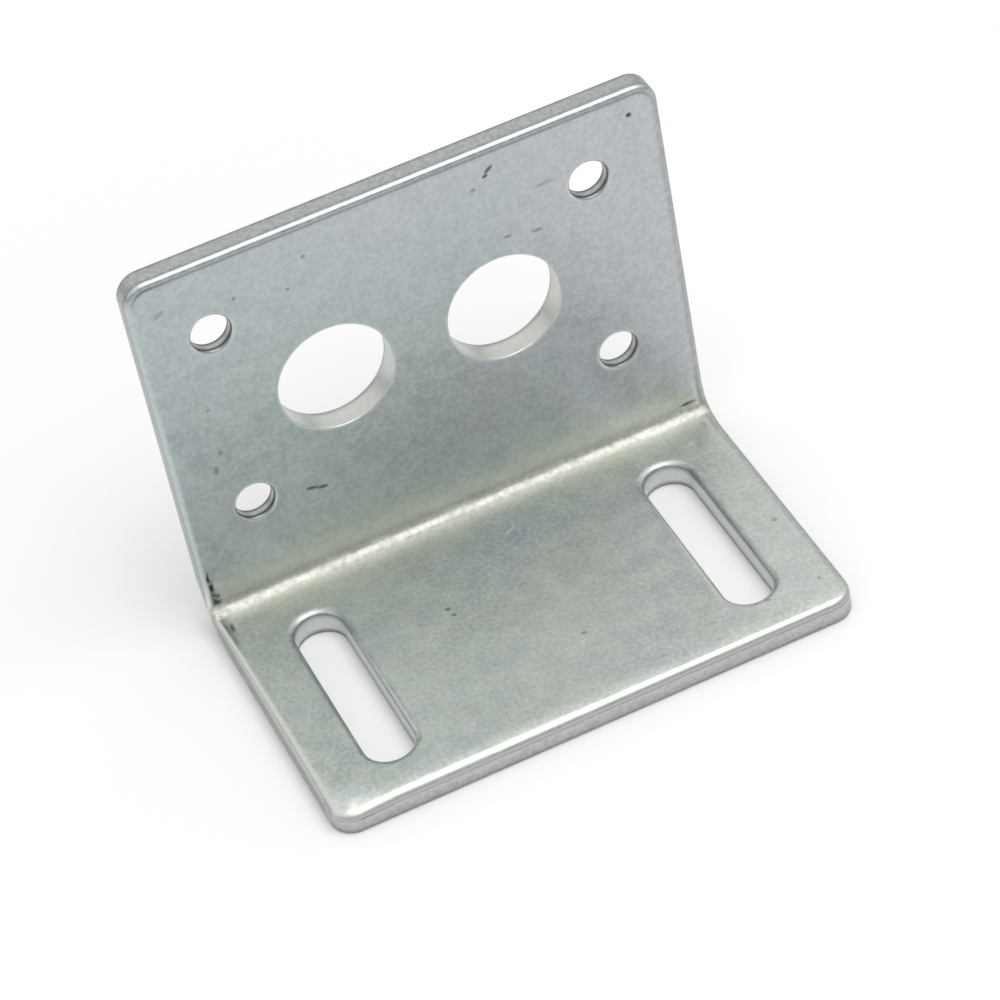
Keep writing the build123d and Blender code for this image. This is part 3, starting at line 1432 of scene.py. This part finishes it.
@dataclass
class Bracket:
    """The bracket: its plate, its cut edges in the order of `Edge`, its flaws and its finish."""

    plate: Plate
    cuts: list[CutOut]
    marks: list[Mark]
    clouds: list[Cloud]
    finish: ZincFinish = field(default_factory=ZincFinish)

    @classmethod
    def from_frame(cls, frame: dict[str, Any]) -> Bracket:
        """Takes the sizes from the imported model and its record.


        Returns:
            The bracket, not yet built.
        """
        low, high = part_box("bracket")
        mounts = {mount["name"]: mount for mount in frame["record"]["mounts"]}
        screws, slots = mounts["gearbox_screws"], mounts["foot_slots"]
        left, right = mounts["shaft_hole_left"], mounts["shaft_hole_right"]
        flange_front = mounts["gearbox_face"]["pos_m"][1]
        plate = Plate(high.x - low.x, high.z, low.y, flange_front, high.y - flange_front)
        across, _, up = screws["pos_m"]
        centre = (across, plate.station_of_height(up))
        openings = {opening["name"]: opening["box_m"] for opening in frame["record"]["physics"]["openings"]}
        (slot_low, _, _), (slot_high, _, _) = openings["slot_right"]
        screw_hole = 2 * screws["dims"]["hole_r_mm"] * MM
        shaft_hole = 2 * left["dims"]["r_mm"] * MM
        slot_length, slot_width = 18.8 * MM, 4.3 * MM
        outline = CutOut(
            section=EdgeSection("sheared edge", roll=0.5 * MM, roll_depth=0.5 * MM, outer_break=0.2 * MM),
            centre=(0.0, plate.strip_length / 2),
            length=plate.strip_length,
            width=plate.width,
            corner=plate.corner_radius,
            outside=True,
        )
        screw_holes = CutOut(
            section=EdgeSection(
                "countersunk edge",
                roll=0.32 * MM,
                roll_depth=0.22 * MM,
                outer_break=0.05 * MM,
                countersink=1.1 * MM,
                wall_steps=3,
                sag=0.05 * MM,
                sag_reach=0.6 * MM,
            ),
            centre=centre,
            length=screw_hole,
            width=screw_hole,
            corner=screw_hole / 2,
            columns=2,
            rows=2,
            pitch_x=screws["dims"]["spacing_x_mm"] * MM,
            pitch_y=screws["dims"]["spacing_y_mm"] * MM,
            spacing=0.16 * MM,
        )
        shaft_holes = CutOut(
            section=EdgeSection(
                "bored edge",
                roll=0.16 * MM,
                roll_depth=0.12 * MM,
                outer_break=0.08 * MM,
                wall_steps=4,
                sag=0.02 * MM,
                sag_reach=0.6 * MM,
            ),
            centre=centre,
            length=shaft_hole,
            width=shaft_hole,
            corner=shaft_hole / 2,
            columns=2,
            pitch_x=right["pos_m"][0] - left["pos_m"][0],
        )
        foot_slots = CutOut(
            section=EdgeSection(
                "pierced edge",
                roll=0.55 * MM,
                roll_depth=0.32 * MM,
                outer_break=0.08 * MM,
                wall_steps=4,
                sag=0.07 * MM,
                sag_reach=0.8 * MM,
            ),
            centre=(0.0, slots["pos_m"][1] - plate.foot_front),
            length=slot_length,
            width=slot_width,
            corner=slot_width / 2,
            columns=2,
            pitch_x=slot_low + slot_high,
        )
        return cls(plate, [outline, screw_holes, shaft_holes, foot_slots], flaws(), painted_light_clouds())

    def build(self) -> bpy.types.Object:
        """Builds, folds and dresses the plate.

        Returns:
            The finished piece.
        """
        material = self.finish.material()
        sweeper = EdgeSweeper()
        flat = self.assemble([sweeper.sweep(cut, self.plate.sheet, material) for cut in self.cuts])
        points = Points(flat, self.plate, self.cuts)
        Relief(self.plate, self.marks).press(points)
        points.write(Masks(self.marks, self.clouds).find(points))
        mesh = Folder().fold(flat, self.plate, material)
        mesh.name = "bracket_plate"
        mesh.polygons.foreach_set("use_smooth", [True] * len(mesh.polygons))
        mesh.set_sharp_from_angle(angle=math.radians(38.0))
        piece = put("bracket_plate", mesh)
        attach(piece, "root")
        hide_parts("bracket")
        return piece

    def assemble(self, bands: list[bpy.types.Mesh]) -> bpy.types.Mesh:
        """Joins the swept edges and the two faces into one closed flat plate.

        Args:
            bands: the swept edges of each family.

        Returns:
            The flat plate.
        """
        points, quads = [], []
        for band in bands:
            place = np.empty(len(band.vertices) * 3)
            band.vertices.foreach_get("co", place)
            corners = np.empty(len(band.loops), dtype=int)
            band.loops.foreach_get("vertex_index", corners)
            quads.append(corners.reshape(-1, 4) + sum(map(len, points)))
            points.append(place.reshape(-1, 3))
        place, walls = np.concatenate(points), np.concatenate(quads)
        sides = np.sort(np.concatenate([walls[:, [a, (a + 1) % 4]] for a in range(4)]), axis=1)
        edges, count = np.unique(sides, axis=0, return_counts=True)
        rims = edges[count == 1]
        filler = FaceFiller(self.plate, self.cuts, self.marks)
        faces = [tuple(quad) for quad in walls]
        everything = [place]
        inner_reach = max(cut.section.inner_reach() for cut in self.cuts)
        for inner, height, reach in ((True, self.plate.sheet, inner_reach), (False, 0.0, 1.9 * MM)):
            pairs = rims[np.abs(place[rims[:, 0], 2] - height) < 0.01 * MM]
            used, local = np.unique(pairs, return_inverse=True)
            extra, triangles = filler.fill(place[used, :2], local.reshape(-1, 2), reach, inner)
            number = np.concatenate([used, np.arange(len(extra)) + sum(map(len, everything))])
            everything.append(np.column_stack([extra, np.full(len(extra), height)]))
            faces += [tuple(triangle) for triangle in number[triangles]]
        mesh = bpy.data.meshes.new("flat plate")
        mesh.from_pydata(np.concatenate(everything).tolist(), [], [tuple(map(int, face)) for face in faces])
        tidy = bmesh.new()
        tidy.from_mesh(mesh)
        bmesh.ops.remove_doubles(tidy, verts=tidy.verts, dist=1e-7)
        bmesh.ops.recalc_face_normals(tidy, faces=tidy.faces)
        open_edges = sum(not edge.is_manifold for edge in tidy.edges)
        tidy.to_mesh(mesh)
        tidy.free()
        LOG.info("flat plate: %d faces, %d open edges", len(mesh.polygons), open_edges)
        return mesh


def flaws() -> list[Mark]:
    """The pits, scratches, specks and smears of the part, and painted glints, each placed from the middle and
    the fold, in mm.

    Returns:
        The marks, on the flange first.
    """
    pit, scratch, speck, smear, glint = MarkKind
    on_flange = (
        (20.3, 32.4, pit, 0.55, 0.45),
        (7.95, 32.6, scratch, 1.0, 0.36, 34.0),
        (7.6, 32.1, scratch, 0.55, 0.34, 20.0),
        (6.4, 31.2, speck, 0.55, 0.40, 10.0),
        (12.2, 29.2, smear, 1.8, 0.35, 4.0),
        (8.5, 25.5, speck, 0.8, 0.36, -8.0),
        (11.0, 25.0, speck, 1.2, 0.36, -6.0),
        (-8.3, 31.5, speck, 0.45, 0.35),
        (-10.1, 29.0, speck, 0.40, 0.30),
        (-14.5, 30.2, speck, 0.40, 0.35),
        (-20.6, 31.4, smear, 1.2, 0.5, 30.0),
        (-18.8, 20.6, speck, 0.35, 0.35),
        (-18.7, 16.0, speck, 0.55, 0.35, 60.0),
        (-19.4, 14.4, speck, 0.45, 0.9),
        (-12.1, 8.75, scratch, 1.05, 0.40, -14.0),
        (-11.2, 8.45, scratch, 1.00, 0.42, -12.0),
        (-22.42, 3.9, pit, 0.26, 1.2, -6.0),
        (-22.28, 2.7, pit, 0.42, 0.9, 10.0),
        (-22.02, 1.75, scratch, 0.7, 0.36, -44.0),
        (-22.08, 1.0, pit, 0.42, 0.9, 16.0),
        (-21.86, 2.9, glint, 0.34, 1.0, 14.0),
        (21.25, 1.1, scratch, 1.4, 0.34, 4.0),
    )
    on_foot = (
        (-21.95, 2.4, scratch, 0.32, 1.1, 6.0),
        (-21.6, 2.5, glint, 0.28, 1.0, 6.0),
        (-5.95, 10.3, speck, 0.55, 0.48),
        (-5.75, 11.2, speck, 0.5, 0.45),
        (2.4, 19.0, speck, 0.50, 0.40),
        (16.6, 23.9, speck, 0.60, 0.40),
        (21.2, 23.9, speck, 0.35, 0.35),
        (21.3, 15.8, speck, 0.45, 0.35),
        (19.6, 3.6, glint, 1.1, 0.35, 20.0),
        (2.2, 4.6, glint, 1.6, 0.30, 24.0),
        (2.0, 19.8, glint, 0.6, 0.20, 20.0),
    )
    return [Mark(Face.FLANGE, *row) for row in on_flange] + [Mark(Face.FOOT, *row) for row in on_foot]


def painted_light_clouds() -> list[Cloud]:
    """The wide clouds of painted light and painted shade on the plating, and of straw tint, placed and sized
    in mm.

    Returns:
        The clouds, on the flange first.
    """
    # columns: across, from the fold, spread across, spread along, tone (painted light above 0, painted shade
    # below 0), straw
    on_flange = (
        (1.0, 8.5, 10.0, 6.0, -0.13),
        (-21.0, 6.0, 4.0, 4.0, -0.07),
        (-2.0, 0.9, 26.0, 1.7, 0.24),
        (18.0, 1.6, 5.0, 1.6, 0.10),
    )
    on_foot = (
        (18.0, 0.9, 5.0, 1.8, 0.12),
        (-7.0, 0.42, 17.0, 0.36, -0.27),
        (-3.0, 1.4, 24.0, 0.45, 0.13),
        (1.0, 4.8, 5.0, 2.4, 0.0, -0.32),
        (2.0, 4.5, 11.0, 3.2, -0.09),
        (21.0, 9.0, 2.2, 8.0, -0.07),
        (-21.4, 25.0, 1.7, 0.9, 0.17),
        (-10.5, 12.5, 3.5, 3.5, 0.08),
        (2.0, 12.0, 6.5, 3.0, 0.04),
        (3.5, 13.5, 5.5, 6.0, 0.0, 0.35),
        (-4.5, 12.8, 2.6, 1.4, -0.06, 0.15),
    )
    return [Cloud(Face.FLANGE, *row) for row in on_flange] + [Cloud(Face.FOOT, *row) for row in on_foot]


@dataclass(frozen=True)
class Studio:
    """The floor, the white room, the dark flags round the table, the soft lamp and the camera."""

    floor_radius: float = 1.6
    floor_white: float = 0.97
    paper_until: float = 0.036
    white_from: float = 0.095
    room_fill: float = 0.70
    softbox_size: float = 0.34
    softbox_place: tuple[float, float, float] = (0.09, -0.10, 0.44)
    softbox_watts: float = 0.95
    softbox_colour: Colour = (1.0, 0.995, 0.97)
    flag_radius: float = 0.8
    flag_low: float = 0.26
    flag_high: float = 1.05
    flag_facing: float = -88.0
    flag_tone: float = 0.42
    flag_top_tone: float = 0.8
    round_steps: int = 96
    flag_levels: int = 12
    camera_place: tuple[float, float, float] = (-0.06722, -0.22796, 0.22639)
    camera_turn: tuple[float, float, float] = (47.483, 8.804, -24.346)
    camera_lens: float = 144.14

    def build(self) -> None:
        """Builds everything that isn't the bracket."""
        self.white_room()
        self.floor()
        self.flags()
        self.softbox()
        self.camera()

    @staticmethod
    def seen_directly(graph: Graph) -> bpy.types.NodeSocket:
        """Tells the eye's rays and the reflections' from those of the light.

        Args:
            graph: the nodes of the world or the floor.

        Returns:
            The socket that is 1 where the eye, or a reflection, meets the surface.
        """
        path = graph.add("ShaderNodeLightPath").outputs
        direct = graph.math("MAXIMUM", path["Is Camera Ray"], path["Is Glossy Ray"])
        return graph.math("MAXIMUM", direct, path["Is Transmission Ray"])

    def white_room(self) -> None:
        """Makes the world: white to look at, a plain soft fill as light."""
        world = bpy.data.worlds.new("white_room")
        bpy.context.scene.world = world
        graph = Graph.of(world)
        fill, white = (
            graph.add("ShaderNodeBackground", {"Color": WHITE, "Strength": strength}).outputs[0]
            for strength in (self.room_fill, 1.0)
        )
        both = graph.add("ShaderNodeMixShader", {0: self.seen_directly(graph), 1: fill, 2: white})
        graph.add("ShaderNodeOutputWorld", {"Surface": both.outputs[0]})

    def floor(self) -> bpy.types.Object:
        """Makes the floor: a pale round sheet that runs out into white.

        Returns:
            The floor.
        """
        material = bpy.data.materials.new("white_paper")
        graph = Graph.of(material)
        place = graph.add("ShaderNodeTexCoord").outputs["Object"]
        away = graph.add("ShaderNodeVectorMath", {0: place}, operation="LENGTH").outputs["Value"]
        away = graph.ramp(away, self.paper_until, self.white_from)
        out = graph.math("MULTIPLY", away, self.seen_directly(graph))
        paper = graph.add("ShaderNodeBsdfDiffuse", {"Color": (self.floor_white,) * 3 + (1.0,)})
        glow = graph.add("ShaderNodeEmission", {"Color": WHITE, "Strength": 1.0})
        both = graph.add("ShaderNodeMixShader", {0: out, 1: paper.outputs[0], 2: glow.outputs[0]})
        graph.add("ShaderNodeOutputMaterial", {"Surface": both.outputs[0]})
        shape = bmesh.new()
        bmesh.ops.create_circle(shape, cap_ends=True, segments=self.round_steps, radius=self.floor_radius)
        return self.finished("floor", shape, material)

    def flags(self) -> bpy.types.Object:
        """Makes the dark flags round the table, which only reflections see, so that edges stand out.

        They are low at the back and tall in front, and their cloth fades out towards the top.

        Returns:
            The ring of flags.
        """
        material = bpy.data.materials.new("black_cloth")
        graph = Graph.of(material)
        height = graph.add("ShaderNodeAttribute", attribute_name="height_share").outputs["Fac"]
        tone = graph.ramp(height, 0.45, 1.0, self.flag_tone, self.flag_top_tone)
        cloth = graph.add("ShaderNodeEmission", {"Color": WHITE, "Strength": tone})
        graph.add("ShaderNodeOutputMaterial", {"Surface": cloth.outputs[0]})
        shape = bmesh.new()
        steps, levels = self.round_steps, self.flag_levels
        rings = [[] for _ in range(levels + 1)]
        for level, ring in enumerate(rings):
            for step in range(steps):
                turn = math.tau * step / steps
                ahead = max(0.0, math.cos(turn - math.radians(self.flag_facing))) ** 0.7
                top = self.flag_low + (self.flag_high - self.flag_low) * ahead
                out = self.flag_radius * math.cos(turn), self.flag_radius * math.sin(turn)
                ring.append(shape.verts.new((*out, top * level / levels)))
        for low, high in zip(rings, rings[1:]):
            for step in range(steps):
                after = (step + 1) % steps
                shape.faces.new((low[step], low[after], high[after], high[step]))
        flags = self.finished("flags", shape, material)
        share = [level / levels for level in range(levels + 1) for _ in range(steps)]
        flags.data.attributes.new("height_share", "FLOAT", "POINT").data.foreach_set("value", share)
        for ray in ("camera", "diffuse", "transmission", "volume_scatter", "shadow"):
            setattr(flags, f"visible_{ray}", False)
        return flags

    @staticmethod
    def finished(name: str, shape: bmesh.types.BMesh, material: bpy.types.Material) -> bpy.types.Object:
        """Turns a shape into an object in the scene.

        Args:
            name: the object's name.
            shape: its shape, which is freed.
            material: its material.

        Returns:
            The new object.
        """
        mesh = bpy.data.meshes.new(name)
        shape.to_mesh(mesh)
        shape.free()
        mesh.materials.append(material)
        return put(name, mesh)

    def softbox(self) -> None:
        """Hangs one large soft lamp above the table."""
        lamp = bpy.data.lights.new("softbox", "AREA")
        lamp.shape = "SQUARE"
        lamp.size = self.softbox_size
        lamp.energy = self.softbox_watts
        lamp.color = self.softbox_colour
        holder = put("softbox", lamp)
        holder.location = self.softbox_place
        holder.rotation_euler = (-Vector(self.softbox_place)).to_track_quat("-Z", "Y").to_euler()
        holder.visible_camera = False

    def camera(self) -> None:
        """Sets up the camera, in front of the bracket, to its left and above it."""
        data = bpy.data.cameras.new("camera")
        data.sensor_width = 36.0
        data.lens = self.camera_lens
        data.clip_start, data.clip_end = 0.01, 10.0
        camera = put("camera", data)
        camera.location = self.camera_place
        camera.rotation_euler = [math.radians(angle) for angle in self.camera_turn]
        bpy.context.scene.camera = camera


def main() -> None:
    """Builds the bracket and its studio, and writes down how large the two models are."""
    logging.basicConfig(level=logging.INFO, format="%(name)s: %(message)s")
    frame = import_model()
    bpy.context.scene.view_settings.view_transform = "Standard"
    bracket = Bracket.from_frame(frame)
    piece = bracket.build()
    strip = bracket.plate.strip_length / MM
    LOG.info("%s: %d faces, strip %.2f mm", piece.name, len(piece.data.polygons), strip)
    Studio().build()
    LOG.info("studio: floor, flags, softbox and camera")


if __name__ == "__main__":
    main()
